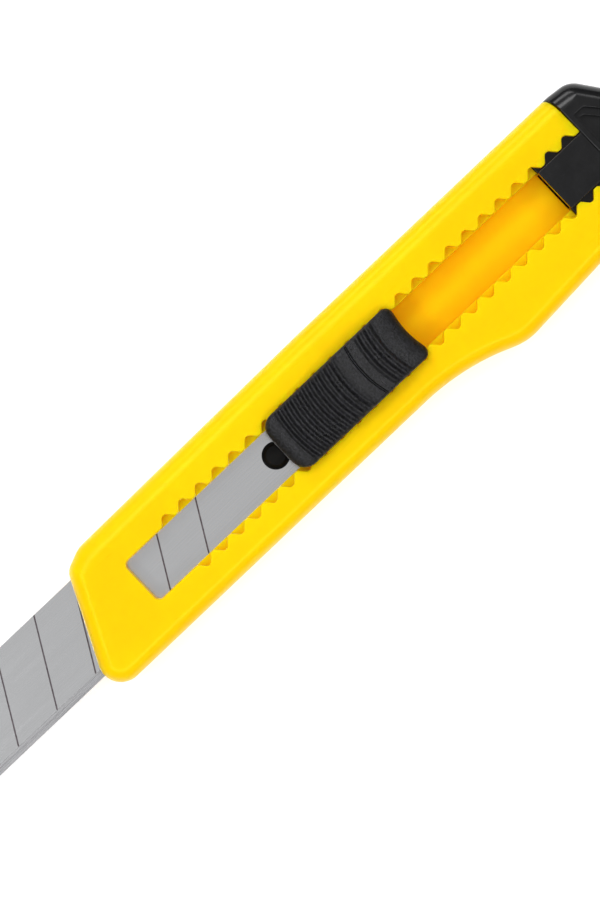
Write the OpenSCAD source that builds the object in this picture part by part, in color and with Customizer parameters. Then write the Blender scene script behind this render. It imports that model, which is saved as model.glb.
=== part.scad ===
// Snap-off utility knife for 18 mm blades, lying on its flat back.
// +X runs from the blade tip to the end cap, +Y is the spine side, +Z is the thumb side.
// Lengths along X are counted from the foremost point of the handle's nose.

/* [Handle] */
// Length of the handle moulding, up to the end cap
body_len = 138; // [115:1:166]
// Width of the handle along its middle
body_w = 26.4; // [22:0.2:32]
// Thickness of the handle
body_t = 12; // [10.8:0.2:14.6]
// Slant of the nose, away from square
nose_slant = 25.3; // [15:0.1:30]
// Corner radius of the nose on the cutting side
nose_corner_r = 4.5; // [3.2:0.1:6]
// Radius of the bend between the spine and the nose's upper corner
spine_corner_r = 6; // [4.5:0.1:9]
// Turn of that bend
corner_bend = 22; // [16:1:28]
// Depth of the nose's upper corner below the spine's line
corner_drop = 1.8; // [1.5:0.1:2.2]
// How far the spine drops towards the nose
spine_drop = 0.95; // [0.2:0.05:1.2]
// Length of the stretch on which the spine drops
spine_drop_len = 71; // [50:1:80]
// Depth of the belly under the heel of the hand
belly_depth = 4.96; // [2:0.02:6]
// Distance from the belly's start to the end of the handle
belly_len = 57; // [45:1:66]
// Radius of the hollow that leads into the belly
belly_hollow_r = 50; // [35:1:60]
// Radius of the belly's shoulder
belly_shoulder_r = 12; // [9:0.5:16]
// Fall of the belly line from its shoulder to the cap
belly_fall = 3.7; // [1:0.1:5]
// Width of the rounding along the top of the spine
spine_round = 4; // [2:0.1:4.3]
// Width of the rounding along the top of the cutting side
belly_round = 2.9; // [1.5:0.1:3.1]
// Width of the rounding over the nose
nose_round = 2.7; // [1.5:0.1:3.1]
// Height of the rounding at the top face
top_round_h = 3.2; // [2:0.1:4]
// Height of the rounding at the back face
back_round_h = 2.2; // [1.2:0.1:3]
// Wall behind the carriage channel
back_wall = 3.2; // [1.6:0.1:4]
// Lean of the joint between the handle and the end cap
rim_lean = 17; // [0:1:20]

/* [Slot and notches] */
// Width of the slot between the two ledges
slot_w = 9.7; // [8:0.1:11.6]
// Offset of the slot's centre line from the blade's centre line
slot_y = -0.8; // [-1.2:0.1:0]
// Front end of the slot
slot_front = 17.4; // [14:0.1:20]
// Corner radius at the front of the slot
slot_corner_r = 1.2; // [0.6:0.1:2]
// Thickness of the ledges that cover the blade
ledge_t = 2.2; // [1.8:0.1:2.6]
// Thickness of the notched layer above the ledges
notch_t = 2.8; // [2.3:0.1:3.3]
// Set-back of the notched layer from the ledge
notch_step = 0.1; // [0.05:0.05:0.4]
// Place of the foremost notch
notch_first = 29.4; // [26:0.1:34]
// Pitch of the notches
notch_pitch = 4.4; // [3.6:0.1:5.3]
// Width of a notch at its mouth
notch_w = 3.4; // [2.8:0.1:3.8]
// Depth of a notch
notch_depth = 1.5; // [1.2:0.1:1.6]
// Width of a notch at its bottom
notch_tip_w = 0.8; // [0.2:0.1:1]

/* [Blade] */
// Width of the blade
blade_w = 18; // [15:0.1:21.6]
// Thickness of the blade
blade_t = 0.5; // [0.4:0.05:0.6]
// Length of the blade
blade_len = 100; // [83:1:120]
// Pitch of the score lines
score_pitch = 10.25; // [8.5:0.05:12.3]
// Angle between a score line and the cutting edge
score_angle = 60.4; // [55:0.1:70]
// Width of a score line
score_w = 0.3; // [0.2:0.05:0.5]
// Depth of a score line
score_depth = 0.12; // [0.05:0.01:0.15]
// Width of the ground cutting edge
grind_w = 1.6; // [1:0.1:2.2]
// Thickness left at the cutting edge
edge_t = 0.06; // [0.04:0.01:0.1]
// Diameter of the hole in the blade's tail
hole_d = 5.5; // [5:0.1:6]
// Distance from the hole's centre to the end of the tail
tail_len = 4; // [3.6:0.1:4.4]
// Distance from the last score line to the end of the tail
tail_land = 28; // [24:0.5:30]
// Chamfer on the corners of the tail
tail_chamfer = 1.2; // [0.5:0.1:2]

/* [Blade carriage] */
// Number of the notch in which the carriage rests
rest_notch = 9; // [4:1:10]
// Distance from the blade's hole to the lock tips
peg_to_lock = 16; // [15.5:0.1:17]
// Diameter of the peg's foot
peg_d = 4.8; // [4.4:0.1:4.9]
// Diameter of the peg's top
peg_top_d = 3.8; // [3:0.1:4.2]
// Gap between the peg's top and the ceiling of the blade channel
peg_play = 0.1; // [0.05:0.05:0.15]
// Height of the chamfer on the peg
peg_chamfer_h = 0.4; // [0.2:0.1:0.5]
// Length of the runner in front of the peg's centre
runner_front = 3.8; // [3.4:0.1:4.4]
// Depth of the blade channel's clearance, both faces together
channel_play = 0.6; // [0.4:0.1:0.8]
// Play between a runner and its channel wall
runner_play = 0.15; // [0.1:0.05:0.25]
// Gap between the blade's tail and the neck
tail_gap = 1; // [0.8:0.1:1.2]
// Distance from the lock tips to the back of the neck
neck_back = 8.6; // [8.5:0.1:8.9]
// Play between the neck and each side of the slot
neck_play = 0.25; // [0.15:0.05:0.4]

/* [Lock spring] */
// Thickness of the spring strip
spring_t = 0.45; // [0.35:0.05:0.6]
// Height of the spring strip
spring_h = 2; // [1.6:0.1:2.1]
// Radius of the post that the spring wraps
post_r = 1.5; // [1.2:0.1:1.7]
// Clearance of the spring around its post
post_gap = 0.15; // [0.1:0.05:0.25]

/* [Thumb button] */
// Length of the thumb button
pad_len = 34.4; // [32:0.2:40]
// Width of the thumb button
pad_w = 12.7; // [11:0.1:15]
// Distance from the lock tips to the front of the button
pad_front = 14.6; // [13:0.1:16]
// Corner radius at the front of the button
pad_front_r = 3.3; // [2:0.1:4]
// Corner radius at the back of the button
pad_back_r = 1.6; // [1:0.1:3]
// Gap between the button and the top of the handle
pad_gap = 0.2; // [0.1:0.05:0.4]
// Height of the lowest point of the thumb hollow
pad_low = 2.1; // [1.6:0.1:2.6]
// Rise of the thumb hollow per squared millimetre
pad_curve = 0.0144; // [0.008:0.0004:0.018]
// Height of the button's front and back ends
pad_end_h = 0.9; // [0.6:0.1:1.2]
// Pitch of the grip ribs
rib_pitch = 1.61; // [1.4:0.01:2]
// Width of a grip rib
rib_w = 0.8; // [0.5:0.05:1]
// Height of a grip rib
rib_h = 0.45; // [0.3:0.05:0.6]

/* [End cap] */
// Length of the cap behind the handle
cap_len = 11; // [9.2:0.1:13]
// Length of the cap's plug inside the handle
plug_len = 11.2; // [9:0.1:13]
// Play between the plug and each cavity wall
plug_play = 0.15; // [0.1:0.05:0.25]
// Distance from the joint to the cap's shoulders
cap_side = 5.2; // [4:0.1:6]
// Lean of the cap's sides, up to its shoulders
cap_lean = 6; // [4:0.5:8]
// Radius of the cap's shoulders
cap_shoulder_r = 4.4; // [4.3:0.1:5]
// Slope of the cap's outline behind its shoulders
cap_slope = 53.6; // [48:0.1:58]
// Corner radius at the cap's end
cap_end_r = 4; // [3:0.1:5]
// Width of the rounding over the cap's end
cap_round = 2; // [1:0.1:2.6]
// Depth of the upper step of the recess
recess_step = 1.2; // [0.8:0.1:1.6]
// Full depth of the recess
recess_depth = 2.6; // [2:0.1:3]
// Play of the blade's width in the snap slit, on each side
slit_side_play = 0.4; // [0.2:0.1:0.8]
// Play of the blade's thickness in the snap slit
slit_play = 0.5; // [0.3:0.1:0.8]
// Depth of the snap slit
slit_depth = 6; // [4:0.1:7]

/* [Hidden] */
$fn = 48;
eps = 0.01;
over = 1;

// Levels through the thickness, from the back face up
channel_h = blade_t + channel_play;
channel_z = body_t - notch_t - ledge_t - channel_h;
ledge_z = channel_z + channel_h;
notch_z = ledge_z + ledge_t;
blade_z = channel_z + channel_play / 2;
pad_z = body_t + pad_gap;

// Places along the handle
lock_x = notch_first + rest_notch * notch_pitch;
peg_x = lock_x - peg_to_lock;
tail_x = peg_x + tail_len;
tip_x = tail_x - blade_len;
plug_x = body_len - plug_len;
rim_margin = 2;
notch_count = floor((body_len - rim_margin - notch_first) / notch_pitch) + 1;
mouth_x = notch_first + (notch_count - 1) * notch_pitch + notch_w / 2;
carrier_back = lock_x + neck_back;
origin_x = body_len / 2;

// Widths
channel_half = blade_w / 2 + 0.3;
runner_half = slot_w / 2;
comb_half = slot_w / 2 + notch_step;
score_lean = 1 / tan(score_angle);
score_count = floor((blade_len - tail_land) / score_pitch);

// Outline of the whole handle with its cap, anticlockwise from above
half_w = body_w / 2;
front_dir = 90 - nose_slant;
spine_tilt = atan(spine_drop / spine_drop_len);
spine_nose_y = half_w - spine_drop;
low_c = [nose_corner_r, nose_corner_r - half_w];
corner_rise = spine_nose_y - corner_drop - low_c[1];
corner_run = (corner_rise * cos(front_dir) + low_c[0] * sin(front_dir) - nose_corner_r)
             / (sin(front_dir) - cos(front_dir) * tan(spine_tilt));
up_corner = [corner_run, spine_nose_y - corner_drop + corner_run * tan(spine_tilt)];
bend_dir = corner_bend + spine_tilt;
bend_at = up_corner + corner_drop * cos(spine_tilt) / sin(corner_bend) * [cos(bend_dir), sin(bend_dir)];
belly_turn = acos(1 - belly_depth / (belly_hollow_r + belly_shoulder_r));
belly_x = body_len - belly_len;
shoulder_x = belly_x + (belly_hollow_r + belly_shoulder_r) * sin(belly_turn);
shoulder_y = belly_shoulder_r - half_w - belly_depth;
end_x = body_len + cap_len;
belly_end_y = shoulder_y - belly_shoulder_r / cos(belly_fall)
              + (body_len - shoulder_x) * tan(belly_fall);
cap_run = cap_len - cap_side;
up_shoulder = [body_len + cap_side, half_w - cap_side * tan(cap_lean)];
low_shoulder = [body_len + cap_side, belly_end_y + cap_side * tan(cap_lean)];
up_end = [end_x, up_shoulder[1] - cap_run * tan(cap_slope)];
low_end = [end_x, low_shoulder[1] + cap_run * tan(cap_slope)];

function arc(c, r, a0, a1, n, first = 0) =
    [for (i = [first:n]) let (a = a0 + (a1 - a0) * i / n) c + r * [cos(a), sin(a)]];
function turned(corner, r, a0, a1, n) =
    arc(corner - r * [cos(a0) + cos(a1), sin(a0) + sin(a1)] / (1 + cos(a1 - a0)), r, a0, a1, n);

outline = concat(
    arc(low_c, nose_corner_r, 180 - nose_slant, 270, 10),
    arc([belly_x, -half_w - belly_hollow_r], belly_hollow_r, 90, 90 - belly_turn, 6),
    arc([shoulder_x, shoulder_y], belly_shoulder_r, 270 - belly_turn, 270 + belly_fall, 6, 1),
    [[body_len, belly_end_y]],
    turned(low_shoulder, cap_shoulder_r, 270 + cap_lean, 270 + cap_slope, 6),
    turned(low_end, cap_end_r, 270 + cap_slope, 360, 4),
    turned(up_end, cap_end_r, 0, 90 - cap_slope, 4),
    turned(up_shoulder, cap_shoulder_r, 90 - cap_slope, 90 - cap_lean, 6),
    [[body_len, half_w], [spine_drop_len, half_w]],
    turned(bend_at, spine_corner_r, 90 + spine_tilt, 90 + bend_dir, 4),
    [up_corner]
);

// Outer form: rings of the outline, drawn inwards towards the two faces
ring_steps = 4;
corner_count = len(outline);
function edge_dir(i) =
    let (d = outline[(i + 1) % corner_count] - outline[i % corner_count]) d / norm(d);
function corner_turn(i) = edge_dir(i) + edge_dir(i + corner_count - 1);
function corner_out(i) = let (t = corner_turn(i)) [t[1], -t[0]] / norm(t);
function mitre(i) = 2 / norm(corner_turn(i));
function round_w(n) =
    pow(n[1], 2) * (n[1] > 0 ? spine_round : belly_round)
    + pow(n[0], 2) * (n[0] > 0 ? cap_round : nose_round);
function ring(z, draw) = [
    for (i = [0:corner_count - 1])
        let (n = corner_out(i), p = outline[i] - n * round_w(n) * mitre(i) * draw) [p[0], p[1], z]
];
back_draw = 0.75;
// The roundings run a little past the two faces, which then cut them flat
function past_face(j) = j > 0 ? 0 : 1.6;
function round_rise(j) = 1 - cos(90 * j / ring_steps);
function round_draw(j) = 1 - sin(90 * j / ring_steps);
function rise_at(j) = round_rise(j) - past_face(j) * round_rise(1);
function draw_at(j) = round_draw(j) + past_face(j) * (1 - round_draw(1));
form_rings = concat(
    [for (j = [0:ring_steps]) ring(back_round_h * rise_at(j), back_draw * draw_at(j))],
    [for (j = [ring_steps:-1:0]) ring(body_t - top_round_h * rise_at(j), draw_at(j))]
);
ring_count = len(form_rings);
form_points = [for (r = form_rings) each r];
form_faces = concat(
    [[for (i = [0:corner_count - 1]) i]],
    [for (r = [0:ring_count - 2], i = [0:corner_count - 1])
        let (a = r * corner_count + i, b = r * corner_count + (i + 1) % corner_count)
        each [[a, a + corner_count, b], [b, a + corner_count, b + corner_count]]],
    [[for (i = [corner_count - 1:-1:0]) (ring_count - 1) * corner_count + i]]
);

// Outline of the notched layer's opening
function notch_side(s) = [
    for (i = [0:notch_count - 1], k = [0:3])
        let (x = notch_first + i * notch_pitch,
             dx = [-notch_w, -notch_tip_w, notch_tip_w, notch_w][k] / 2,
             dy = [0, notch_depth, notch_depth, 0][k])
        [x + dx, slot_y + s * (comb_half + dy)]
];
function backwards(list) = [for (i = [len(list) - 1:-1:0]) list[i]];

module place() {
    translate([-origin_x, 0, 0]) children();
}

module span(x, y, z) {
    translate([x[0], y[0], z[0]]) cube([x[1] - x[0], y[1] - y[0], z[1] - z[0]]);
}

module outer_form() {
    intersection() {
        polyhedron(points = form_points, faces = form_faces, convexity = 6);
        span([-over, end_x + over], [-body_w, body_w], [0, body_t]);
    }
}

// Everything behind the leaning joint plane, which meets the top face at x
module behind_joint(x) {
    translate([x, 0, body_t])
        rotate([0, rim_lean, 0])
            translate([0, -2 * body_w, -3 * body_t])
                cube([cap_len * 3, 4 * body_w, 5 * body_t]);
}

module slot_cut() {
    front = slot_front + slot_corner_r;
    side = runner_half - slot_corner_r;
    span([front, body_len + over], [slot_y - runner_half, slot_y + runner_half],
         [ledge_z - eps, body_t + over]);
    span([slot_front, front + eps], [slot_y - side, slot_y + side], [ledge_z - eps, body_t + over]);
    for (s = [-1, 1])
        translate([front, slot_y + s * side, ledge_z - eps])
            cylinder(r = slot_corner_r, h = body_t + over - ledge_z);
}

module notch_cut() {
    front = slot_front + slot_corner_r;
    rear = body_len + over;
    mouth = comb_half + notch_step;
    translate([0, 0, notch_z])
        linear_extrude(body_t)
            polygon(concat(
                [[front, slot_y - comb_half]],
                notch_side(-1),
                [[mouth_x, slot_y - mouth], [rear, slot_y - mouth]],
                [[rear, slot_y + mouth], [mouth_x, slot_y + mouth]],
                backwards(notch_side(1)),
                [[front, slot_y + comb_half]]
            ));
}

module handle_body() {
    runner_start = peg_x - runner_front - lock_x + notch_first - 1;
    color([1, 0.86, 0.02]) place() difference() {
        outer_form();
        behind_joint(body_len);
        span([-over, body_len + over], [-channel_half, channel_half], [channel_z, ledge_z]);
        span([runner_start, body_len + over], [slot_y - runner_half, slot_y + runner_half],
             [back_wall, ledge_z]);
        span([plug_x - plug_play, body_len + over], [-channel_half, channel_half],
             [back_wall, notch_z]);
        slot_cut();
        notch_cut();
    }
}

module recess(draw, depth) {
    half = 7.9 - draw;
    front = body_len + 1.4 + draw / 2;
    back = end_x - 2.8 - draw;
    flat = half - 5.1;
    translate([0, slot_y, body_t - depth])
        linear_extrude(depth + over)
            polygon([
                [front, -half], [back - 4.4, -half], [back, -flat],
                [back, flat], [back - 4.4, half], [front, half]
            ]);
}

module end_cap() {
    joint_gap = 0.15;
    tongue_play = 0.12;
    tongue_top = body_t - 0.3;
    cap_seat = body_len + joint_gap;
    plug_back = body_len + 0.5;
    wall = channel_half - plug_play;
    slit_half = blade_w / 2 + slit_side_play;
    color([0.12, 0.12, 0.13]) place() difference() {
        union() {
            intersection() {
                outer_form();
                behind_joint(cap_seat);
            }
            span([plug_x, plug_back], [-wall, wall], [back_wall + plug_play, notch_z - plug_play]);
            span([plug_x, plug_back], [slot_y - runner_half + tongue_play, slot_y + runner_half - tongue_play],
                 [back_wall + plug_play, tongue_top]);
        }
        recess(0, recess_step);
        recess(1, recess_depth);
        span([end_x - slit_depth, end_x + over], [-slit_half, slit_half],
             [channel_z - blade_t - slit_play, channel_z]);
    }
}

module score_line(x) {
    top = blade_z + blade_t;
    foot = grind_w - blade_w / 2;
    translate([x + grind_w * score_lean, foot, top - score_depth])
        rotate([0, 0, score_angle])
            translate([0, -score_w / 2, 0])
                cube([blade_w / sin(score_angle) + over, score_w, blade_t]);
}

module blade() {
    half = blade_w / 2;
    mid = blade_t / 2;
    color([0.71, 0.72, 0.73]) place() difference() {
        intersection() {
            translate([tip_x - over, 0, blade_z])
                rotate([90, 0, 90])
                    linear_extrude(blade_len + 2 * over)
                        polygon([
                            [-half, mid - edge_t / 2], [grind_w - half, 0], [half, 0],
                            [half, blade_t], [grind_w - half, blade_t], [-half, mid + edge_t / 2]
                        ]);
            translate([0, 0, blade_z - over])
                linear_extrude(blade_t + 2 * over)
                    polygon([
                        [tip_x, -half], [tail_x - tail_chamfer, -half], [tail_x, tail_chamfer - half],
                        [tail_x, half - tail_chamfer], [tail_x - tail_chamfer, half],
                        [tip_x + blade_w * score_lean, half]
                    ]);
        }
        for (i = [1:score_count]) score_line(tip_x + i * score_pitch);
        translate([peg_x, slot_y, blade_z - over])
            cylinder(d = hole_d, h = blade_t + 2 * over);
    }
}

// Slot in the neck for the button's keel, and the keel that fits in it
keel_half_len = 4;
keel_travel = 1.4;
keel_stem_half = 1.2;
keel_foot_half = 2.2;
keel_play = 0.15;
keel_foot_low = channel_z - 0.3;
keel_foot_top = ledge_z + 0.4;
neck_top = notch_z + 0.15;
spring_z = neck_top + 0.05;
post_x = lock_x - 8;

module blade_carrier() {
    keel_room = keel_half_len + keel_travel + keel_play;
    wing_half = blade_w / 2 - 0.1;
    wing_front = tail_x + 0.6;
    side = runner_half - runner_play;
    neck_half = slot_w / 2 - neck_play;
    post_top = pad_z - 0.1;
    peg_base = ledge_z - peg_play - peg_chamfer_h - blade_z;
    color([0.13, 0.13, 0.14]) place() difference() {
        union() {
            span([peg_x - runner_front, carrier_back], [slot_y - side, slot_y + side],
                 [back_wall + runner_play, blade_z]);
            span([wing_front, carrier_back], [-wing_half, wing_half],
                 [channel_z + runner_play, ledge_z - runner_play]);
            span([tail_x + tail_gap, carrier_back], [slot_y - neck_half, slot_y + neck_half],
                 [blade_z, neck_top]);
            span([carrier_back - 1.4, carrier_back], [slot_y - 3, slot_y + 3], [neck_top, post_top]);
            translate([post_x, slot_y, neck_top]) cylinder(r = post_r, h = post_top - neck_top);
            translate([peg_x, slot_y, blade_z]) cylinder(d = peg_d, h = peg_base);
            translate([peg_x, slot_y, blade_z + peg_base])
                cylinder(d1 = peg_d, d2 = peg_top_d, h = peg_chamfer_h);
        }
        span([lock_x - keel_room, lock_x + keel_room],
             [slot_y - keel_stem_half - keel_play, slot_y + keel_stem_half + keel_play],
             [keel_foot_low, neck_top + eps]);
        span([lock_x - keel_room, lock_x + keel_room],
             [slot_y - keel_foot_half - keel_play, slot_y + keel_foot_half + keel_play],
             [keel_foot_low - keel_play, keel_foot_top + keel_play]);
    }
}

// Middle line of one spring arm, from its post to its free end
arm_gap = 0.95;
arm_half = comb_half - arm_gap;
lock_gap = 0.54;
lock_reach = comb_half + notch_depth - lock_gap;
dimple_x = 4.5;
dimple_half = arm_half - 1.1;
cam_half = dimple_half + 1.12;
arm_path = [
    [post_x - lock_x, post_r + post_gap + spring_t / 2],
    [-3, arm_half], [-1.5, arm_half],
    [-0.25, lock_reach], [0.25, lock_reach],
    [1.5, arm_half], [3.2, arm_half],
    [dimple_x - 0.2, dimple_half], [dimple_x + 0.2, dimple_half],
    [5.8, arm_half], [6.6, arm_half]
];

module spring_arm() {
    thick = spring_t * 1.2 / 2;
    linear_extrude(spring_h)
        polygon(concat(
            [for (p = arm_path) p + [0, thick]],
            [for (p = backwards(arm_path)) p - [0, thick]]
        ));
}

module lock_spring() {
    inner = post_r + post_gap;
    color([0.66, 0.67, 0.69]) place() translate([lock_x, slot_y, spring_z]) {
        spring_arm();
        mirror([0, 1, 0]) spring_arm();
        translate([post_x - lock_x, 0, 0]) difference() {
            cylinder(r = inner + spring_t, h = spring_h);
            translate([0, 0, -over]) cylinder(r = inner, h = spring_h + 2 * over);
            translate([0.1, -body_w / 2, -over]) cube([body_w, body_w, spring_h + 2 * over]);
        }
    }
}

// Side view of the button: front slope, thumb hollow, rear hump, rear slope
hollow_from = 3.1;
hollow_low_at = 9;
hollow_to = pad_len - 14.2;
groove_at = hollow_to + 2.1;
groove_w = 0.5;
hump_from = hollow_to + 4.8;
hump_to = pad_len - 4.5;
hump_fall = 0.9;
rib_inset = 1.3;
function hollow_h(u) = pad_low + pad_curve * pow(u - hollow_low_at, 2);
hump_h = hollow_h(hollow_to);
function hump_at(u) = hump_h - hump_fall * (u - hump_from) / (hump_to - hump_from);
function end_curve(u0, u1, h, a0, a1) =
    [for (i = [0:4]) let (a = a0 + (a1 - a0) * i / 4)
        [u0 + (u1 - u0) * cos(a), pad_end_h + (h - pad_end_h) * sin(a)]];
pad_side = concat(
    [[0, 0]],
    end_curve(hollow_from, 0, hollow_h(hollow_from), 0, 90),
    [for (i = [1:14]) let (u = hollow_from + (hollow_to - hollow_from) * i / 14) [u, hollow_h(u)]],
    [[groove_at, hump_h], [groove_at, hump_h - groove_w]],
    [[groove_at + groove_w, hump_h - groove_w], [groove_at + groove_w, hump_h]],
    [[hump_from, hump_h]],
    end_curve(hump_to, pad_len, hump_at(hump_to), 90, 0),
    [[pad_len, 0]]
);

module pad_outline() {
    half = pad_w / 2;
    polygon(concat(
        arc([pad_front_r, half - pad_front_r], pad_front_r, 90, 180, 10),
        arc([pad_front_r, pad_front_r - half], pad_front_r, 180, 270, 10),
        arc([pad_len - pad_back_r, pad_back_r - half], pad_back_r, 270, 360, 6),
        arc([pad_len - pad_back_r, half - pad_back_r], pad_back_r, 0, 90, 6)
    ));
}

module rib(u, top) {
    span([u - rib_w / 2, u + rib_w / 2], [-pad_w / 2, pad_w / 2], [pad_end_h, top + rib_h]);
}

module ribs() {
    first = hollow_from + rib_inset;
    rear = hump_from + rib_w / 2;
    for (u = [first:rib_pitch:hollow_to - rib_w / 2]) rib(u, hollow_h(u));
    for (u = [rear:rib_pitch:hump_to - rib_w / 2]) rib(u, hump_at(u));
}

module thumb_button() {
    cam_r = 0.6;
    color([0.14, 0.14, 0.15]) place() {
        translate([lock_x - pad_front, slot_y, pad_z]) intersection() {
            union() {
                translate([0, pad_w, 0]) rotate([90, 0, 0]) linear_extrude(2 * pad_w) polygon(pad_side);
                ribs();
            }
            linear_extrude(body_t) pad_outline();
        }
        span([lock_x - keel_half_len, lock_x + keel_half_len],
             [slot_y - keel_stem_half, slot_y + keel_stem_half], [keel_foot_low, pad_z + 0.5]);
        span([lock_x - keel_half_len, lock_x + keel_half_len],
             [slot_y - keel_foot_half, slot_y + keel_foot_half], [keel_foot_low, keel_foot_top]);
        for (s = [-1, 1])
            translate([lock_x + dimple_x, slot_y + s * cam_half, neck_top + 0.2])
                cylinder(r = cam_r, h = pad_z + 0.5 - neck_top - 0.2);
    }
}

handle_body();
end_cap();
blade();
blade_carrier();
lock_spring();
thumb_button();
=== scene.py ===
import math

import bmesh
import bpy
from mathutils import Matrix, Vector
from mathutils.geometry import delaunay_2d_cdt


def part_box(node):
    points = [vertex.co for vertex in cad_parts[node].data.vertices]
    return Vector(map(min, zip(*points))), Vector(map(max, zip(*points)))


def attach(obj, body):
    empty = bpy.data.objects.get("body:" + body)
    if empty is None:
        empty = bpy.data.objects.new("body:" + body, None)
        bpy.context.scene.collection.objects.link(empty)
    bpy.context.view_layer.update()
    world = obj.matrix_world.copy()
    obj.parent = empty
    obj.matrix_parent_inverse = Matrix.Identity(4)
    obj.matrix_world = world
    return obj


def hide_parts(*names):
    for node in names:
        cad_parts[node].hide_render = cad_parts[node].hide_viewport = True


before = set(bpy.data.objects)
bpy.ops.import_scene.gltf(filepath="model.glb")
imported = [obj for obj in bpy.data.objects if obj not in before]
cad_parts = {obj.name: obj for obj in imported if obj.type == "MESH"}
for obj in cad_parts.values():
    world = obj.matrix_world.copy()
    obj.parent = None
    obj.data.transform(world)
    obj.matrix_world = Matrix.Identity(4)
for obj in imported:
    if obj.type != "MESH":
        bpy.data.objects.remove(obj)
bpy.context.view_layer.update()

# ---------------------------------------------------------------------------
# Handle: one glossy yellow moulding, hollow along its middle for the blade.
# Its slot has a notched upper layer and a plain ledge below, and the end cap
# pushes into its open rear. All lengths are millimetres from the nose.
# ---------------------------------------------------------------------------
handle_len = 138.0
handle_t = 12.0
half_w = 13.2
nose_slant = 25.3
nose_r = 4.5
bend_r = 6.0
bend_turn = 22.0
corner_drop = 1.8
corner_r = 3.6
spine_bend_x = 71.0
spine_drop = 0.95
belly_x = 81.0
belly_depth = 4.96
hollow_r = 50.0
shoulder_r = 12.0
belly_fall = 3.7
cap_end_x = 149.0
cap_side = 5.2
cap_lean = 6.0
cap_shoulder_r = 4.4
cap_slope = 53.6
cap_end_r = 4.0
spine_round = 4.0
belly_round = 2.9
nose_round = 2.7
cap_round = 2.0
top_round_h = 3.2
back_round_h = 2.2
back_draw = 0.75
joint_lean = 17.0
slot_y = -0.8
slot_half = 4.85
comb_half = 4.95
slot_front = 17.4
notch_first = 29.4
notch_pitch = 4.4
notch_count = 25
notch_w = 3.4
notch_tip_w = 0.8
notch_depth = 1.5
ledge_top = 9.2
channel_z = 5.9
channel_top = 7.0
channel_half = 9.3
back_wall = 3.2
cavity_x = 126.65


def arc(centre, radius, start, stop, spacing=0.4, finest=12.0):
    """Points of an arc, each with the direction that leads out of the plastic."""
    turn = abs(stop - start)
    count = max(2, math.ceil(max(radius * math.radians(turn) / spacing, turn / finest)))
    side = 1 if stop > start else -1
    points = []
    for i in range(count + 1):
        a = math.radians(start + (stop - start) * i / count)
        ray = Vector((math.cos(a), math.sin(a)))
        points.append((Vector(centre) + ray * radius, ray * side))
    return points


def rounded(corners, spacing=0.25):
    """An anticlockwise path through (x, y, radius) corners, each turned with its radius."""
    points = []
    for i, (x, y, radius) in enumerate(corners):
        here = Vector((x, y))
        before = (here - Vector(corners[i - 1][:2])).normalized()
        after = (Vector(corners[(i + 1) % len(corners)][:2]) - here).normalized()
        turn = math.atan2(before.cross(after), before.dot(after))
        side = 1 if turn > 0 else -1
        left = Vector((-before.y, before.x)) * side
        centre = here - before * radius * math.tan(abs(turn) / 2) + left * radius
        start = math.degrees(math.atan2(-left.y, -left.x))
        turned = arc(centre, radius, start, start + math.degrees(turn), spacing, 18.0)
        if points and (points[-1][0] - turned[0][0]).length < 0.01:
            turned = turned[1:]
        points += turned
    return points


def offset_ring(path, offset, z):
    """The path at height z, moved by offset towards the outside of the plastic."""
    return [(p.x + n.x * offset, p.y + n.y * offset, z) for p, n in path]


def loft(bm, rings):
    """Joins rings of equal length with quads, and returns their vertices."""
    rows = [[bm.verts.new(co) for co in ring] for ring in rings]
    for low, high in zip(rows, rows[1:]):
        for i in range(len(low)):
            j = (i + 1) % len(low)
            bm.faces.new((low[i], low[j], high[j], high[i]))
    return rows


def fill(bm, outer, hole=(), up=True):
    """Closes a flat region between an outer row of vertices and the row of a hole in it."""
    verts = list(outer) + list(hole)
    loops = [list(range(len(outer)))]
    if hole:
        loops.append(list(range(len(outer), len(verts))))
    flat = [Vector((v.co.x, v.co.y)) for v in verts]
    made = delaunay_2d_cdt(flat, [], loops, 1, 1e-7, True)
    for triangle, inside in zip(made[2], made[5]):
        if list(inside) == [0]:
            corners = [verts[made[3][k][0]] for k in triangle]
            bm.faces.new(corners if up else corners[::-1])


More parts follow.
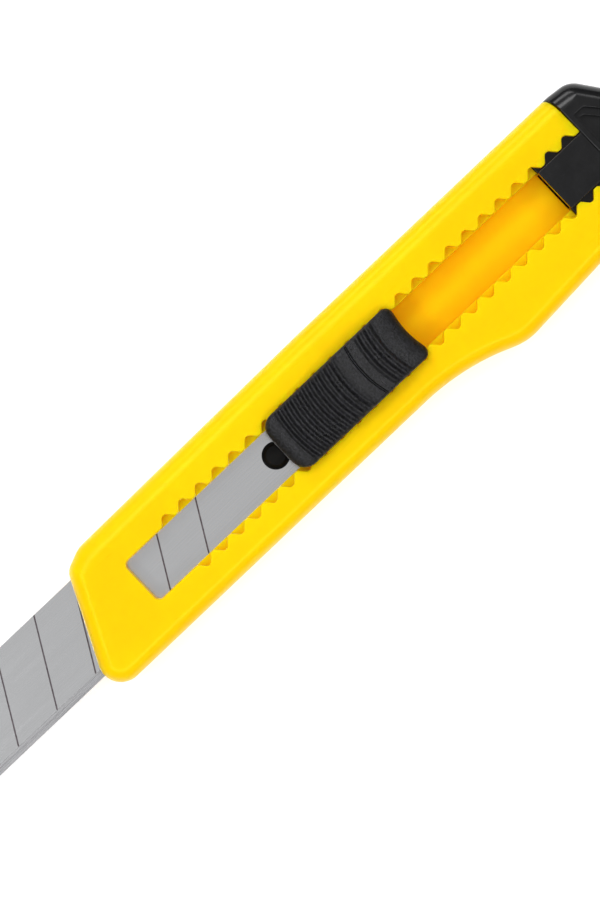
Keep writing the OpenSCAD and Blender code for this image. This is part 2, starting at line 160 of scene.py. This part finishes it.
def outline_path():
    """The outline of the handle with its cap, anticlockwise from the nose's lower corner."""
    front = math.radians(90 - nose_slant)
    tilt = spine_drop / spine_bend_x
    nose_c = Vector((nose_r, nose_r - half_w))
    low_x = nose_r - nose_r * math.tan(math.radians(90 + nose_slant) / 2)
    # The nose's upper corner, and the bend between it and the spine
    rise = half_w - spine_drop - corner_drop
    run = (((rise - nose_c.y) * math.cos(front) + nose_c.x * math.sin(front) - nose_r)
           / (math.sin(front) - math.cos(front) * tilt))
    corner = Vector((run, rise + run * tilt))
    bend_dir = math.radians(bend_turn) + math.atan(tilt)
    chamfer = corner_drop * math.cos(math.atan(tilt)) / math.sin(math.radians(bend_turn))
    bend = corner + Vector((math.cos(bend_dir), math.sin(bend_dir))) * chamfer
    # The belly's hollow runs straight into its shoulder
    turn = math.acos(1 - belly_depth / (hollow_r + shoulder_r))
    fall = math.radians(belly_fall)
    join = Vector((belly_x + hollow_r * math.sin(turn), -half_w - hollow_r * (1 - math.cos(turn))))
    shoulder = join + Vector((math.cos(turn), -math.sin(turn))) * shoulder_r * math.tan((turn + fall) / 2)
    belly_end = shoulder.y + (handle_len - shoulder.x) * math.tan(fall)
    lean = cap_side * math.tan(math.radians(cap_lean))
    slope = (cap_end_x - handle_len - cap_side) * math.tan(math.radians(cap_slope))
    return rounded([
        (low_x, -half_w, nose_r),
        (belly_x + hollow_r * math.tan(turn / 2), -half_w, hollow_r),
        (shoulder.x, shoulder.y, shoulder_r),
        (handle_len + 0.3, belly_end, 2),
        (handle_len + cap_side, belly_end + lean, cap_shoulder_r),
        (cap_end_x, belly_end + lean + slope, cap_end_r),
        (cap_end_x, half_w - lean - slope, cap_end_r),
        (handle_len + cap_side, half_w - lean, cap_shoulder_r),
        (handle_len + 0.3, half_w, 2),
        (spine_bend_x, half_w, 40),
        (bend.x, bend.y, bend_r),
        (corner.x, corner.y, corner_r),
    ], 0.4)


def shell(bm):
    """The closed outer form up to its top face, which stays open; returns the top row."""
    path = outline_path()
    steps = 10

    def drawn(draw, z):
        ring = []
        for p, n in path:
            width = n.y ** 2 * (spine_round if n.y > 0 else belly_round)
            width += n.x ** 2 * (cap_round if n.x > 0 else nose_round)
            ring.append((p.x - n.x * width * draw, p.y - n.y * width * draw, z))
        return ring

    def curve(k):
        a = math.pi / 2 * k / steps
        return 1 - math.sin(a), 1 - math.cos(a)

    rings = []
    for k in range(steps + 1):
        draw, rise = curve(k)
        rings.append(drawn(back_draw * draw, back_round_h * rise))
    for k in range(steps, -1, -1):
        draw, rise = curve(k)
        rings.append(drawn(draw, handle_t - top_round_h * rise))
    rows = loft(bm, rings)
    fill(bm, rows[0], up=False)
    return rows[-1]


def lip_rings(path, top, bottom, lip, steps=4):
    """Rings of an opening's wall, from its rounded lip down."""
    rings = []
    for k in range(steps + 1):
        a = math.pi / 2 * k / steps
        rings.append(offset_ring(path, lip * (1 - math.sin(a)), top - lip * (1 - math.cos(a))))
    rings.append(offset_ring(path, 0, bottom))
    return rings


def trim(bm, x, keep_front, rim):
    """Cuts the form along the leaning joint plane, and rounds the rim there."""
    lean = math.radians(joint_lean)
    normal = Vector((math.cos(lean), 0, -math.sin(lean)))
    at = Vector((x, 0, handle_t))
    side = 1 if keep_front else -1
    for part in (1.0, 0.6, 0.3, 0.1):
        bmesh.ops.bisect_plane(bm, geom=bm.verts[:] + bm.edges[:] + bm.faces[:], dist=1e-5,
                               plane_co=at - normal * side * rim * part, plane_no=normal)
    bmesh.ops.bisect_plane(bm, geom=bm.verts[:] + bm.edges[:] + bm.faces[:], dist=1e-5,
                           plane_co=at, plane_no=normal,
                           clear_outer=keep_front, clear_inner=not keep_front)
    bm.normal_update()
    moves = []
    for v in bm.verts:
        depth = abs((v.co - at).dot(normal))
        if depth < rim:
            inset = rim - math.sqrt(rim ** 2 - (rim - depth) ** 2)
            level = v.normal - normal * v.normal.dot(normal)
            beside = min(1, max(0, (abs(v.co.y - slot_y) - comb_half - 1) / 1.5))
            moves.append((v, level.normalized() * inset * beside))
    for v, move in moves:
        v.co -= move
    bmesh.ops.contextual_create(bm, geom=[e for e in bm.edges if e.is_boundary])
    bmesh.ops.recalc_face_normals(bm, faces=bm.faces[:])


def to_object(bm, name):
    """Puts the millimetre mesh in the frame, in metres, as a new object."""
    bmesh.ops.transform(bm, matrix=Matrix.Diagonal((0.001, 0.001, 0.001, 1))
                        @ Matrix.Translation((-handle_len / 2, 0, 0)), verts=bm.verts)
    mesh = bpy.data.meshes.new(name)
    bm.to_mesh(mesh)
    bm.free()
    made = bpy.data.objects.new(name, mesh)
    bpy.context.scene.collection.objects.link(made)
    return made


def box(bm, x, y, z):
    """A plain box over the spans x, y and z."""
    made = bmesh.ops.create_cube(bm, size=1)
    size = Vector((x[1] - x[0], y[1] - y[0], z[1] - z[0]))
    centre = Vector((sum(x), sum(y), sum(z))) / 2
    for v in made["verts"]:
        v.co = centre + v.co * size


def settle(piece):
    """Turns the piece's modifiers into its plain mesh."""
    bpy.context.view_layer.update()
    result = bpy.data.meshes.new_from_object(piece.evaluated_get(bpy.context.evaluated_depsgraph_get()))
    piece.modifiers.clear()
    piece.data = result


def cut(piece, *boxes):
    """Takes boxes out of a closed piece, one after the other."""
    for spans in boxes:
        bm = bmesh.new()
        box(bm, *spans)
        cutter = to_object(bm, "cutter")
        taken = piece.modifiers.new("cut", "BOOLEAN")
        taken.operation = "DIFFERENCE"
        taken.solver = "EXACT"
        taken.object = cutter
        settle(piece)
        bpy.data.objects.remove(cutter)


def smooth(piece, angle):
    """Smooth shading up to an angle, with flat faces kept flat next to roundings."""
    for polygon in piece.data.polygons:
        polygon.use_smooth = True
    piece.data.set_sharp_from_angle(angle=math.radians(angle))
    weighted = piece.modifiers.new("weighted", "WEIGHTED_NORMAL")
    weighted.keep_sharp = True
    weighted.weight = 90
    settle(piece)


def notch_edge(side):
    """Corners of one side of the notched opening, from front to rear."""
    corners = []
    for i in range(notch_count):
        x = notch_first + i * notch_pitch
        for dx, depth, radius in ((-notch_w, 0, 0.6), (-notch_tip_w, notch_depth, 0.75),
                                  (notch_tip_w, notch_depth, 0.75), (notch_w, 0, 0.6)):
            corners.append((x + dx / 2, slot_y + side * (comb_half + depth), radius))
    return corners


pocket_end = handle_len + 4
comb_front = slot_front
comb_front_r = 1.25
comb = rounded(
    [(comb_front, slot_y + comb_half, comb_front_r), (comb_front, slot_y - comb_half, comb_front_r)]
    + notch_edge(-1)
    + [(pocket_end, slot_y - comb_half, 0.3), (pocket_end, slot_y + comb_half, 0.3)]
    + notch_edge(1)[::-1]
)
ledge_front = slot_front + 0.1
ledge_front_r = 1.15
slot = rounded([
    (ledge_front, slot_y + slot_half, ledge_front_r), (ledge_front, slot_y - slot_half, ledge_front_r),
    (pocket_end - 1, slot_y - slot_half, 0.3), (pocket_end - 1, slot_y + slot_half, 0.3),
])

bm = bmesh.new()
top_row = shell(bm)
comb_rows = loft(bm, lip_rings(comb, handle_t, ledge_top, 0.25))
fill(bm, top_row, comb_rows[0])
slot_rows = loft(bm, lip_rings(slot, ledge_top, channel_z + 0.5, 0.05))
fill(bm, comb_rows[-1], slot_rows[0])
fill(bm, slot_rows[-1])
trim(bm, handle_len, True, 0.3)
handle = to_object(bm, "handle")
past_rear = handle_len + 9
trough_x = 8.6
trough_half = slot_half + 0.01
cavity_half = channel_half + 0.02
cut(
    handle,
    ((-9, past_rear), (-channel_half, channel_half), (channel_z, channel_top)),
    ((trough_x, past_rear), (slot_y - trough_half, slot_y + trough_half), (back_wall, channel_z + 0.45)),
    ((cavity_x, past_rear), (-cavity_half, cavity_half), (back_wall - 0.02, ledge_top + 0.02)),
)
smooth(handle, 30)


def add(tree, kind, values=(), links=(), **settings):
    """A shader or geometry node with its settings, input values and links."""
    made = tree.nodes.new(kind)
    for name, value in settings.items():
        setattr(made, name, value)
    for key, value in dict(values).items():
        made.inputs[key].default_value = value
    for key, socket in dict(links).items():
        tree.links.new(socket, made.inputs[key])
    return made


def new_material(name, values):
    """A material with its shader's own values, and where its patterns take their places."""
    material = bpy.data.materials.new(name)
    material.use_nodes = True
    tree = material.node_tree
    shader = tree.nodes["Principled BSDF"]
    for key, value in values.items():
        shader.inputs[key].default_value = value
    return material, tree, shader, add(tree, "ShaderNodeTexCoord").outputs["Object"]


def noise(tree, place, scale, stretch=(1, 1, 1), detail=2.0, roughness=0.5):
    """Noise in Object coordinates, at scale per metre, stretched along the axes."""
    mapped = add(tree, "ShaderNodeMapping", {"Scale": stretch}, {"Vector": place})
    return add(tree, "ShaderNodeTexNoise", {"Scale": scale, "Detail": detail, "Roughness": roughness},
               {"Vector": mapped.outputs["Vector"]}).outputs["Fac"]


def remap(tree, value, low, high, to_low, to_high):
    return add(tree, "ShaderNodeMapRange",
               {"From Min": low, "From Max": high, "To Min": to_low, "To Max": to_high},
               {"Value": value}).outputs["Result"]


def blend_colours(tree, factor, first, second):
    mixed = add(tree, "ShaderNodeMix", {}, {0: factor}, data_type="RGBA")
    mixed.inputs[6].default_value = (*first, 1)
    mixed.inputs[7].default_value = (*second, 1)
    return mixed.outputs[2]


def bump(tree, shader, height, distance, strength=1.0):
    made = add(tree, "ShaderNodeBump", {"Strength": strength, "Distance": distance}, {"Height": height})
    tree.links.new(made.outputs["Normal"], shader.inputs["Normal"])


yellow, tree, shader, place = new_material("yellow moulded plastic", {
    "Specular IOR Level": 0.4, "Specular Tint": (1.0, 0.86, 0.12, 1.0), "IOR": 1.5,
    "Subsurface Weight": 0.8, "Subsurface Radius": (1.0, 0.65, 0.03), "Subsurface Scale": 0.006})
clouds = noise(tree, place, 45.0)
tree.links.new(blend_colours(tree, remap(tree, clouds, 0.35, 0.65, 0, 1),
                             (0.96, 0.60, 0.001), (0.95, 0.56, 0.001)), shader.inputs["Base Color"])
scuffs = noise(tree, place, 900.0, (0.06, 1, 1), 4.0, 0.65)
tree.links.new(remap(tree, scuffs, 0.3, 0.75, 0.27, 0.31), shader.inputs["Roughness"])
bump(tree, shader, noise(tree, place, 1800.0, detail=3.0), 0.00002, 0.35)
handle.data.materials.append(yellow)

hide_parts("handle_body")
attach(handle, "handle")

# ---------------------------------------------------------------------------
# End cap: one piece of smooth black plastic. Its plug slides into the
# handle's open rear, its tongue fills the slot's end, and its top has a
# two-step recess. A slit across its end holds a blade segment to be snapped.
# ---------------------------------------------------------------------------
cap_seat = handle_len + 0.15
plug_front = 126.8
plug_back = handle_len + 0.6
plug_half = 9.15
plug_z = (back_wall + 0.15, ledge_top - 0.15)
tongue_half = slot_half - 0.12
tongue_top = handle_t - 0.3
recess_depths = (1.2, 2.6)
slit_half = 9.4
slit_z = (4.9, 5.9)
slit_depth = 6.0


def recess_path(draw):
    """The outline of the recess in the cap's top, drawn in for its second step."""
    half = 7.9 - draw
    front = handle_len + 1.4 + draw / 2
    back = cap_end_x - 2.8 - draw
    flat = half - 5.1
    return rounded([
        (front, slot_y + half, 0.3), (front, slot_y - half, 0.3),
        (back - 4.4, slot_y - half, 1.1), (back, slot_y - flat, 1.6),
        (back, slot_y + flat, 1.6), (back - 4.4, slot_y + half, 1.1),
    ])


def prism(bm, corners, z, lip):
    """A closed block on a rounded outline, with rounded upper and lower edges."""
    path = rounded(corners)
    rings = []
    for k in range(4):
        a = math.pi / 2 * k / 3
        rings.append(offset_ring(path, -lip * (1 - math.sin(a)), z[0] + lip * (1 - math.cos(a))))
    for k in range(3, -1, -1):
        a = math.pi / 2 * k / 3
        rings.append(offset_ring(path, -lip * (1 - math.sin(a)), z[1] - lip * (1 - math.cos(a))))
    rows = loft(bm, rings)
    fill(bm, rows[0], up=False)
    fill(bm, rows[-1])


def block(bm, x, y, z, radius=0.5, lip=0.25):
    """A box over the spans x, y and z, with rounded corners and edges."""
    corners = ((x[0], y[0]), (x[1], y[0]), (x[1], y[1]), (x[0], y[1]))
    prism(bm, [(*corner, radius) for corner in corners], z, lip)


bm = bmesh.new()
top_row = shell(bm)
upper = loft(bm, lip_rings(recess_path(0), handle_t, handle_t - recess_depths[0], 0.25))
fill(bm, top_row, upper[0])
lower = loft(bm, lip_rings(recess_path(1), handle_t - recess_depths[0], handle_t - recess_depths[1], 0.15))
fill(bm, upper[-1], lower[0])
fill(bm, lower[-1])
trim(bm, cap_seat, False, 0.3)
cap = to_object(bm, "cap")
cut(cap, ((cap_end_x - slit_depth, cap_end_x + 3), (-slit_half, slit_half), slit_z))
bm = bmesh.new()
bm.from_mesh(cap.data)
bmesh.ops.transform(bm, matrix=Matrix.Translation((handle_len / 2, 0, 0))
                    @ Matrix.Diagonal((1000, 1000, 1000, 1)), verts=bm.verts)
bpy.data.objects.remove(cap)
block(bm, (plug_front, plug_back), (-plug_half, plug_half), plug_z)
block(bm, (plug_front, plug_back), (slot_y - tongue_half, slot_y + tongue_half),
      (plug_z[0], tongue_top), 0.4, 0.2)
cap = to_object(bm, "end_cap_moulding")
smooth(cap, 30)

glossy, tree, shader, place = new_material("smooth black plastic", {"Specular IOR Level": 0.34, "IOR": 1.5})
grain = noise(tree, place, 1800.0, detail=3.0, roughness=0.6)
tree.links.new(blend_colours(tree, remap(tree, grain, 0.35, 0.65, 0, 1),
                             (0.001, 0.001, 0.001), (0.003, 0.003, 0.004)), shader.inputs["Base Color"])
tree.links.new(remap(tree, noise(tree, place, 300.0), 0.3, 0.7, 0.19, 0.27), shader.inputs["Roughness"])
bump(tree, shader, grain, 0.00002, 0.4)
cap.data.materials.append(glossy)

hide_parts("end_cap")
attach(cap, "cap")

# ---------------------------------------------------------------------------
# Blade: a strip of tool steel, scored across for snapping. It is ground along
# its length, so fine streaks run lengthwise, and its cutting edge is bevelled.
# It hangs by the hole in its tail on the carriage's peg.
# ---------------------------------------------------------------------------
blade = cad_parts["blade"]
blade_low, blade_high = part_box("blade")
score_depth = 0.00012
grind_w = 0.0016

steel, tree, shader, place = new_material("ground tool steel", {"Metallic": 1.0})
streaks = noise(tree, place, 60.0, (1, 90, 1), 5.0, 0.7)
tree.links.new(blend_colours(tree, remap(tree, streaks, 0.3, 0.7, 0, 1),
                             (0.59, 0.595, 0.605), (0.66, 0.665, 0.675)), shader.inputs["Base Color"])
tree.links.new(remap(tree, streaks, 0.3, 0.7, 0.23, 0.16), shader.inputs["Roughness"])
bump(tree, shader, streaks, 0.000004, 0.3)

# The bevel's steel is coloured far darker than the flat steel: painted shade for the tilted grind. Its
# lengthwise grinding lines are real.
shaded_bevel, tree, shader, place = new_material("ground cutting edge", {"Metallic": 1.0})
lines = noise(tree, place, 60.0, (1, 90, 1), 4.0, 0.7)
tree.links.new(blend_colours(tree, remap(tree, lines, 0.3, 0.7, 0, 1),
                             (0.18, 0.18, 0.185), (0.25, 0.25, 0.255)), shader.inputs["Base Color"])
tree.links.new(remap(tree, lines, 0.3, 0.7, 0.22, 0.34), shader.inputs["Roughness"])
bump(tree, shader, lines, 0.000003, 0.3)

# The score grooves get a near-black colour: painted shade in the grooves, varied at random.
groove, tree, shader, place = new_material("score groove", {"Metallic": 0.8})
groove_shade_mottle = noise(tree, place, 1500.0)
tree.links.new(blend_colours(tree, remap(tree, groove_shade_mottle, 0.3, 0.7, 0, 1),
                             (0.05, 0.04, 0.045), (0.13, 0.11, 0.12)), shader.inputs["Base Color"])
tree.links.new(remap(tree, groove_shade_mottle, 0.3, 0.7, 0.5, 0.65), shader.inputs["Roughness"])

blade.data.materials.clear()
for material in (steel, shaded_bevel, groove):
    blade.data.materials.append(material)
for face in blade.data.polygons:
    below = blade_high.z - face.center.z
    on_bevel = face.center.y < blade_low.y + grind_w and 0.5 < abs(face.normal.z) < 0.9999
    in_groove = not on_bevel and 0.2 * score_depth < below < 1.1 * score_depth
    face.material_index = 1 if on_bevel else 2 if in_groove else 0

# ---------------------------------------------------------------------------
# Carriage: a black acetal slide that runs in the handle's channel. It carries
# the blade on a short peg and guides the thumb button's keel.
# ---------------------------------------------------------------------------
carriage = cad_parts["blade_carrier"]
acetal, tree, shader, place = new_material("black acetal", {"Specular IOR Level": 0.07})
marks = noise(tree, place, 500.0, (0.2, 1, 1), 3.0)
tree.links.new(blend_colours(tree, remap(tree, marks, 0.3, 0.7, 0, 1),
                             (0.003, 0.003, 0.003), (0.007, 0.007, 0.007)), shader.inputs["Base Color"])
tree.links.new(remap(tree, marks, 0.3, 0.7, 0.25, 0.40), shader.inputs["Roughness"])
bump(tree, shader, noise(tree, place, 2500.0), 0.00001, 0.4)
carriage.data.materials.clear()
carriage.data.materials.append(acetal)

# ---------------------------------------------------------------------------
# Lock spring: a strip of cold-rolled spring steel bent round the carriage's
# post. Its two tips press into a pair of notches until the button spreads it.
# ---------------------------------------------------------------------------
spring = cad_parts["lock_spring"]
strip, tree, shader, place = new_material("cold-rolled spring strip", {"Metallic": 1.0})
rolled = noise(tree, place, 120.0, (1, 1, 60), 4.0)
tree.links.new(blend_colours(tree, remap(tree, rolled, 0.3, 0.7, 0, 1),
                             (0.48, 0.48, 0.50), (0.58, 0.58, 0.59)), shader.inputs["Base Color"])
tree.links.new(remap(tree, rolled, 0.3, 0.7, 0.22, 0.36), shader.inputs["Roughness"])
bump(tree, shader, rolled, 0.000003, 0.4)
spring.data.materials.clear()
spring.data.materials.append(strip)

# ---------------------------------------------------------------------------
# Thumb button: one piece of stippled black plastic, with a ribbed hollow for
# the thumb and a ribbed hump behind. Its keel passes through the slot into the
# carriage, and two cams under it reach down between the spring's arms.
# ---------------------------------------------------------------------------
pad_x = 54.4
pad_len = 34.4
pad_half = 6.35
pad_z = 12.2
pad_front_r = 3.3
pad_back_r = 2.4
pad_end_h = 0.9
pad_crown = 0.15
edge_r = 0.75
hollow_from = 3.1
hollow_to = 20.2
groove_u = 22.55
groove_half = 0.3
groove_depth = 0.5
hump_from = 25.0
hump_to = 29.9
hump_fall = 0.9
bow = 1.0
bow_from = 6.0
end_bow = 0.2
end_bow_from = 29.0


def hollow_height(u):
    """Height of the thumb's hollow, at u along the button."""
    return 2.1 + 0.0144 * (u - 9) ** 2


def pad_height(u):
    """Height of the button's crest above its underside, at u along it."""
    hump = hollow_height(hollow_to)
    if u < hollow_from:
        lead = 1 - (1 - u / hollow_from) ** 2
        return pad_end_h + (hollow_height(hollow_from) - pad_end_h) * math.sqrt(lead)
    if u < hollow_to:
        return hollow_height(u)
    if u > hump_to:
        lead = 1 - ((u - hump_to) / (pad_len - hump_to)) ** 2
        return pad_end_h + (hump - hump_fall - pad_end_h) * math.sqrt(max(lead, 0))
    height = hump - hump_fall * max(0, u - hump_from) / (hump_to - hump_from)
    beside = abs(u - groove_u) / groove_half
    return height - groove_depth * math.sqrt(1 - beside ** 2) if beside < 1 else height


def pad_width(u):
    """Half width of the button at u, with its rounded corners."""
    for radius, at in ((pad_front_r, u), (pad_back_r, pad_len - u)):
        if at < radius:
            return pad_half - radius + math.sqrt(radius ** 2 - (radius - at) ** 2)
    return pad_half


def pad_section(u):
    """One closed section across the button, with how far each point is lifted by a rib."""
    half = pad_width(u)
    height = pad_height(u)
    edge = min(edge_r, 0.8 * height)
    shoulder = height - pad_crown - edge
    side = [(half, 0.0, 0.0), (half, 0.5 * shoulder, 0.0), (half, shoulder, 0.25)]
    for k in range(1, 7):
        a = math.pi / 2 * k / 6
        side.append((half - edge * (1 - math.cos(a)), shoulder + edge * math.sin(a), 0.25 + 0.125 * k))
    for k in range(1, 7):
        y = (half - edge) * (1 - k / 6)
        side.append((y, height - pad_crown * (y / (half - edge)) ** 2, 1.0))
    underside = [((half - edge) * k / 6, 0.0, 0.0) for k in range(-6, 7)]
    return side + [(-y, z, lift) for y, z, lift in side[-2::-1]] + underside


stations = 620
bm = bmesh.new()
sections = []
for i in range(stations + 1):
    u = pad_len * i / stations
    bowed = bow * min(1, u / bow_from) + end_bow * max(0, u - end_bow_from) / (pad_len - end_bow_from)
    sections.append([(pad_x + u - bowed * (1 - (y / pad_half) ** 2), slot_y + y, pad_z + z)
                     for y, z, lift in pad_section(u)])
rows = loft(bm, sections)
# Each end is closed by a face for either edge, with quads from crest to underside between
crest_first, crest_last = 8, 20
for end, turn in ((rows[0], -1), (rows[-1], 1)):
    bm.faces.new((end[:crest_first + 1] + end[-1:])[::turn])
    bm.faces.new(end[crest_last:crest_last + 10][::turn])
    for k in range(crest_last - crest_first):
        top, under = crest_last - k, crest_last + 9 + k
        bm.faces.new([end[top - 1], end[top], end[under], end[under + 1]][::turn])
lifts = [lift for y, z, lift in pad_section(pad_len / 2)]
pad = to_object(bm, "thumb_pad")
crest = pad.data.attributes.new("crest", "FLOAT", "POINT")
crest.data.foreach_set("value", lifts * (stations + 1))
stretch = pad.data.attributes.new("stretch", "FLOAT", "POINT")
stretch.data.foreach_set("value", [pad_len / 1000 * i / stations for i in range(stations + 1) for _ in lifts])

# Each point of the pad near a rib's middle is raised by the rib's rounded profile
ribs = bpy.data.node_groups.new("grip ribs", "GeometryNodeTree")
ribs.interface.new_socket("Geometry", in_out="INPUT", socket_type="NodeSocketGeometry")
rib_sockets = {}
for name, kind in (("First Rib", "Float"), ("Rib Pitch", "Float"), ("Rib Count", "Int"),
                   ("Rib Width", "Float"), ("Rib Height", "Float"), ("Plastic", "Material")):
    rib_sockets[name] = ribs.interface.new_socket(name, in_out="INPUT", socket_type="NodeSocket" + kind)
ribs.interface.new_socket("Geometry", in_out="OUTPUT", socket_type="NodeSocketGeometry")
given = add(ribs, "NodeGroupInput").outputs


def rib_math(operation, *terms):
    made = add(ribs, "ShaderNodeMath", operation=operation)
    for slot_index, term in enumerate(terms):
        if isinstance(term, (int, float)):
            made.inputs[slot_index].default_value = term
        else:
            ribs.links.new(term, made.inputs[slot_index])
    return made.outputs[0]


along = add(ribs, "GeometryNodeInputNamedAttribute", {"Name": "stretch"},
            data_type="FLOAT").outputs["Attribute"]
count = rib_math("DIVIDE", rib_math("SUBTRACT", along, given["First Rib"]), given["Rib Pitch"])
last = rib_math("SUBTRACT", given["Rib Count"], 1)
nearest = rib_math("MINIMUM", rib_math("MAXIMUM", rib_math("ROUND", count), 0), last)
middle = rib_math("MULTIPLY_ADD", nearest, given["Rib Pitch"], given["First Rib"])
away = rib_math("DIVIDE", rib_math("ABSOLUTE", rib_math("SUBTRACT", along, middle)), given["Rib Width"])
profile = add(ribs, "ShaderNodeMapRange",
              {"From Min": 0.0, "From Max": 0.95, "To Min": 1.0, "To Max": 0.0},
              {"Value": away}, interpolation_type="SMOOTHSTEP").outputs["Result"]
share = add(ribs, "GeometryNodeInputNamedAttribute", {"Name": "crest"},
            data_type="FLOAT").outputs["Attribute"]
lift = rib_math("MULTIPLY", rib_math("MULTIPLY", profile, given["Rib Height"]), share)
upwards = add(ribs, "ShaderNodeCombineXYZ", {}, {"Z": lift}).outputs["Vector"]
raised = add(ribs, "GeometryNodeSetPosition", {}, {"Geometry": given["Geometry"], "Offset": upwards})
real = add(ribs, "GeometryNodeRealizeInstances", {}, {"Geometry": raised.outputs["Geometry"]})
coated = add(ribs, "GeometryNodeSetMaterial", {},
             {"Geometry": real.outputs["Geometry"], "Material": given["Plastic"]})
add(ribs, "NodeGroupOutput", {}, {"Geometry": coated.outputs["Geometry"]})

black, tree, shader, place = new_material("stippled black plastic", {"Specular IOR Level": 0.25, "IOR": 1.5})
stipple = noise(tree, place, 2000.0, detail=3.0, roughness=0.7)
tree.links.new(blend_colours(tree, remap(tree, stipple, 0.42, 0.62, 0, 1),
                             (0.001, 0.001, 0.001), (0.012, 0.012, 0.015)), shader.inputs["Base Color"])
tree.links.new(remap(tree, noise(tree, place, 300.0), 0.3, 0.7, 0.26, 0.36), shader.inputs["Roughness"])
bump(tree, shader, stipple, 0.0002, 1.0)

for first, how_many in ((4.4, 10), (25.4, 3)):
    grip = pad.modifiers.new("grip ribs", "NODES")
    grip.node_group = ribs
    for name, value in (("First Rib", first / 1000), ("Rib Pitch", 0.00161),
                        ("Rib Count", how_many), ("Rib Width", 0.0008), ("Rib Height", 0.00043),
                        ("Plastic", black)):
        grip[rib_sockets[name].identifier] = value
settle(pad)

lock_x = 69.0
bm = bmesh.new()
bm.from_mesh(pad.data)
bmesh.ops.transform(bm, matrix=Matrix.Translation((handle_len / 2, 0, 0))
                    @ Matrix.Diagonal((1000, 1000, 1000, 1)), verts=bm.verts)
bpy.data.objects.remove(pad)
block(bm, (lock_x - 4, lock_x + 4), (slot_y - 1.2, slot_y + 1.2), (6.4, pad_z + 0.5), 0.3, 0.1)
block(bm, (lock_x - 4, lock_x + 4), (slot_y - 2.2, slot_y + 2.2), (5.6, 7.4), 0.3, 0.2)
cam_r = 0.6
cam_x = lock_x + 4.5
for cam_y in (slot_y - 3.12, slot_y + 3.12):
    prism(bm, [(cam_x - cam_r, cam_y - cam_r, cam_r - 0.02), (cam_x + cam_r, cam_y - cam_r, cam_r - 0.02),
               (cam_x + cam_r, cam_y + cam_r, cam_r - 0.02), (cam_x - cam_r, cam_y + cam_r, cam_r - 0.02)],
          (9.55, pad_z + 0.5), 0.1)
button = to_object(bm, "thumb_slide")
smooth(button, 50)
button.data.materials.clear()
button.data.materials.append(black)

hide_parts("thumb_button")
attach(button, "button")

# ---------------------------------------------------------------------------
# Studio: a white table that glows a little, a soft sky, large soft lights to
# either side of the zenith for the roundings' highlights, and a camera that
# looks straight down on the knife.
# ---------------------------------------------------------------------------
bm = bmesh.new()
bmesh.ops.create_grid(bm, x_segments=2, y_segments=2, size=3000)
floor = to_object(bm, "floor")
paper, tree, shader, place = new_material("white table", {"Roughness": 0.8, "Emission Strength": 0.4})
shader.inputs["Emission Color"].default_value = (1, 1, 1, 1)
tree.links.new(blend_colours(tree, noise(tree, place, 4.0), (0.84, 0.84, 0.84), (0.81, 0.81, 0.81)),
               shader.inputs["Base Color"])
floor.data.materials.append(paper)

scene = bpy.context.scene
world = bpy.data.worlds.new("soft sky")
world.use_nodes = True
sky = world.node_tree
view_dir = add(sky, "ShaderNodeTexCoord").outputs["Generated"]
sky_up = add(sky, "ShaderNodeSeparateXYZ", {}, {"Vector": view_dir}).outputs["Z"]
backdrop = sky.nodes["Background"].inputs
backdrop["Color"].default_value = (1, 1, 1, 1)
sky.links.new(remap(sky, sky_up, 0.1, 1.0, 0.18, 0.58), backdrop["Strength"])
scene.world = world
scene.view_settings.view_transform = "Standard"


def softbox(name, at, size, power):
    """A rectangular soft light that faces the middle of the knife."""
    light = bpy.data.lights.new(name, "AREA")
    light.shape = "RECTANGLE"
    light.size, light.size_y = size
    light.energy = power
    lamp = bpy.data.objects.new(name, light)
    lamp.location = at
    lamp.rotation_euler = (-Vector(at)).to_track_quat("-Z", "Y").to_euler()
    scene.collection.objects.link(lamp)


softbox("spine side light", (0.0, 0.40, 0.80), (0.7, 0.22), 3.0)
softbox("belly side light", (0.0, -0.40, 0.80), (0.7, 0.18), 2.2)
softbox("nose side light", (-0.42, 0.0, 0.80), (0.5, 0.14), 1.7)
softbox("cap side light", (0.50, 0.10, 0.75), (0.4, 0.14), 0.9)
softbox("low light behind the spine", (0.15, 0.80, 0.45), (0.35, 0.2), 1.3)

camera_data = bpy.data.cameras.new("camera")
camera_data.lens = 200
camera_data.sensor_width = 36
camera_data.clip_start = 0.05
camera = bpy.data.objects.new("camera", camera_data)
camera.location = (-0.0119, -0.00325, 0.9705)
camera.rotation_euler = (0, 0, math.radians(-43.5))
scene.collection.objects.link(camera)
scene.camera = camera
